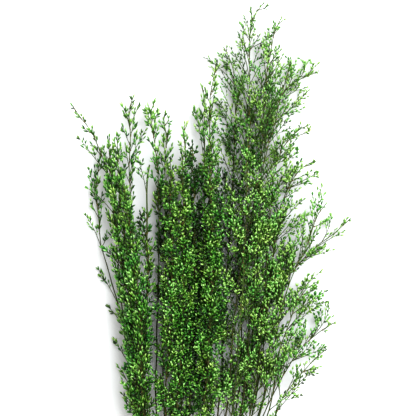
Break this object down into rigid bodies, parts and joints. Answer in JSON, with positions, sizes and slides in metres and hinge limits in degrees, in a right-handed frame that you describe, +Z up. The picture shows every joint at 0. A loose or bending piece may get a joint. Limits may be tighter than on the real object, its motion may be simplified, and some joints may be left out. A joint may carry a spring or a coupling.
{
  "type": "preserved limonium bunch",
  "caption": "Bunch of thin cut stems with finely branched sprays of small green buds, held together near the cut ends by a rubber band and lying on its side.",
  "frame": {"origin": "on the surface that the bunch lies on, under the middle of the rubber band", "axes": "+Y along the stems towards their tips, +Z up from the surface, +X to the right as seen from above with the tips pointing away"},
  "size_m": [0.338, 0.7531, 0.0811],
  "materials": {
    "foliage": "matte, dyed green, with brown-green stems",
    "rubber_band": "natural rubber"
  },
  "bodies": {
    "root": {"spray_left_low": "foliage", "spray_gap_right": "foliage", "spray_crown_left": "foliage", "spray_right_arch": "foliage", "spray_right_long": "foliage", "spray_left_tip": "foliage", "spray_left_spire": "foliage", "spray_twin": "foliage", "spray_tallest": "foliage", "spray_right_upper": "foliage", "spray_right_foot": "foliage", "spray_left_outer": "foliage", "spray_gap_left": "foliage", "spray_mid_spire": "foliage", "spray_mid_tall": "foliage", "spray_crown_right": "foliage", "spray_right_shoulder": "foliage", "spray_right_middle": "foliage", "spray_left_inner": "foliage", "spray_snapped": "foliage", "spray_middle": "foliage", "spray_crown_middle": "foliage", "spray_right_low": "foliage", "spray_right_lowest": "foliage", "spray_top_left": "foliage", "spray_top_bright": "foliage", "spray_top_second": "foliage", "spray_top_middle": "foliage", "spray_top_right": "foliage", "band": "rubber_band"}
  },
  "joints": []
}
